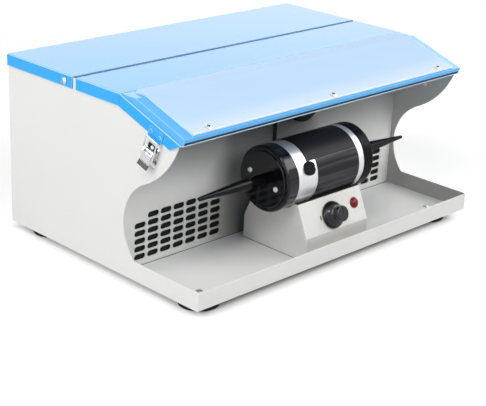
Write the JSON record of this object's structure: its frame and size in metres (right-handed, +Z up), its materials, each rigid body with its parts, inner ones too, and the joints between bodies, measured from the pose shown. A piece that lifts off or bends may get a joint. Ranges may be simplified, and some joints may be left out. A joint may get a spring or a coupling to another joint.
{
  "type": "jewelry polishing machine",
  "caption": "Bench-top jewelry polishing machine: double-ended motor with tapered spindles in an open bay under a hinged blue hood, with a slotted dust partition and fans behind.",
  "frame": {"origin": "middle of the footprint, on the surface that the feet stand on", "axes": "+X to the right along the motor's axis, +Y from the open front to the rear panel, +Z up"},
  "size_m": [0.5014, 0.3422, 0.226],
  "materials": {
    "white_panel": "smooth off-white powder coat",
    "blue_cover": "glossy sky-blue paint",
    "pane": "clear acrylic sheet under a pale blue film",
    "bright_screw": "zinc-plated, satin",
    "hinge_steel": "drawn steel",
    "latch_chrome": "bright nickel plate",
    "motor_tube": "brushed",
    "motor_label": "glossy black film",
    "motor_black": "semi-gloss black",
    "brush_cap": "moulded black",
    "carbon": "pressed carbon",
    "motor_steel": "turned and laminated steel",
    "copper": "enamelled copper",
    "cradle": "bare casting",
    "knob": "moulded black",
    "control_metal": "plated",
    "lens": "dark red, domed",
    "black_plastic": "moulded black",
    "board": "green laminate",
    "filter": "white fibre mat",
    "diffuser": "milky",
    "cable": "black sheath",
    "foot_rubber": "matt"
  },
  "bodies": {
    "cabinet": {"base_tray": "white_panel", "brush_caps": "brush_cap", "carbon_brushes": "carbon", "control_board": "board", "cover_screws": "bright_screw", "end_cap_left": "motor_black", "end_cap_right": "motor_black", "end_cap_screws": "bright_screw", "fan_frames": "black_plastic", "feet": "foot_rubber", "field_magnets": "motor_steel", "filter_pads": "filter", "foot_screws": "bright_screw", "hinge_leaf_rear": "blue_cover", "hinge_pin": "hinge_steel", "indicator_body": "black_plastic", "indicator_lens": "lens", "lamp_cable": "cable", "lamp_diffuser": "diffuser", "lamp_housing": "black_plastic", "latch_base_left": "latch_chrome", "latch_base_right": "latch_chrome", "latch_pins": "latch_chrome", "latch_rivets": "bright_screw", "motor_bearings": "motor_steel", "motor_cradle": "cradle", "motor_label": "motor_label", "motor_pedestal": "white_panel", "motor_tube": "motor_tube", "partition": "white_panel", "pot_nut": "bright_screw", "potentiometer": "control_metal", "power_inlet": "black_plastic", "rear_cover": "blue_cover", "rear_panel": "white_panel", "side_panel_left": "white_panel", "side_panel_right": "white_panel", "switch_frame": "black_plastic"},
    "lid": {"lid": "blue_cover", "visor_frame": "blue_cover", "visor_pane": "pane", "visor_screws": "bright_screw", "hinge_leaf_lid": "blue_cover", "keeper_left": "blue_cover", "keeper_right": "blue_cover"},
    "spindle": {"motor_shaft": "motor_steel", "armature_core": "motor_steel", "armature_windings": "copper", "commutator": "copper", "spindle_left": "motor_black", "spindle_right": "motor_black"},
    "knob": {"speed_knob": "knob", "pot_shaft": "control_metal"},
    "lever_left": {"latch_lever_left": "latch_chrome"},
    "loop_left": {"latch_loop_left": "latch_chrome"},
    "lever_right": {"latch_lever_right": "latch_chrome"},
    "loop_right": {"latch_loop_right": "latch_chrome"},
    "fan_left": {"fan_rotor_left": "black_plastic"},
    "fan_right": {"fan_rotor_right": "black_plastic"},
    "rocker": {"rocker": "black_plastic"}
  },
  "joints": [
    {"name": "lid_hinge", "type": "hinge", "parent": "cabinet", "child": "lid", "pos_m": [0, 0.03925, 0.2215], "axis": [-1, 0, 0], "range_deg": [0, 95]},
    {"name": "spindle_spin", "type": "hinge", "parent": "cabinet", "child": "spindle", "pos_m": [0, -0.10555, 0.1077], "axis": [1, 0, 0], "continuous": true},
    {"name": "knob_turn", "type": "hinge", "parent": "cabinet", "child": "knob", "pos_m": [-0.0038, -0.14996, 0.05833], "axis": [0, 0.9173, -0.3983], "range_deg": [-135, 135]},
    {"name": "lever_left_swing", "type": "hinge", "parent": "cabinet", "child": "lever_left", "pos_m": [-0.2445, -0.09399, 0.17416], "axis": [0, 0.9483, 0.3173], "range_deg": [0, 140]},
    {"name": "loop_left_swing", "type": "hinge", "parent": "lever_left", "child": "loop_left", "pos_m": [-0.2463, -0.09145, 0.16658], "axis": [0, 0.9483, 0.3173], "range_deg": [-140, 0]},
    {"name": "lever_right_swing", "type": "hinge", "parent": "cabinet", "child": "lever_right", "pos_m": [0.2445, -0.09399, 0.17416], "axis": [0, -0.9483, -0.3173], "range_deg": [0, 140]},
    {"name": "loop_right_swing", "type": "hinge", "parent": "lever_right", "child": "loop_right", "pos_m": [0.2463, -0.09145, 0.16658], "axis": [0, -0.9483, -0.3173], "range_deg": [-140, 0]},
    {"name": "fan_left_spin", "type": "hinge", "parent": "cabinet", "child": "fan_left", "pos_m": [-0.115, 0.13895, 0.107], "axis": [0, 1, 0], "continuous": true},
    {"name": "fan_right_spin", "type": "hinge", "parent": "cabinet", "child": "fan_right", "pos_m": [0.115, 0.13895, 0.107], "axis": [0, 1, 0], "continuous": true},
    {"name": "rocker_tip", "type": "hinge", "parent": "cabinet", "child": "rocker", "pos_m": [0, 0.16595, 0.086], "axis": [1, 0, 0], "range_deg": [0, 16]}
  ],
  "couplings": [
    {"joint": "loop_left_swing", "follows": "lever_left_swing", "ratio": -1},
    {"joint": "loop_right_swing", "follows": "lever_right_swing", "ratio": -1}
  ]
}
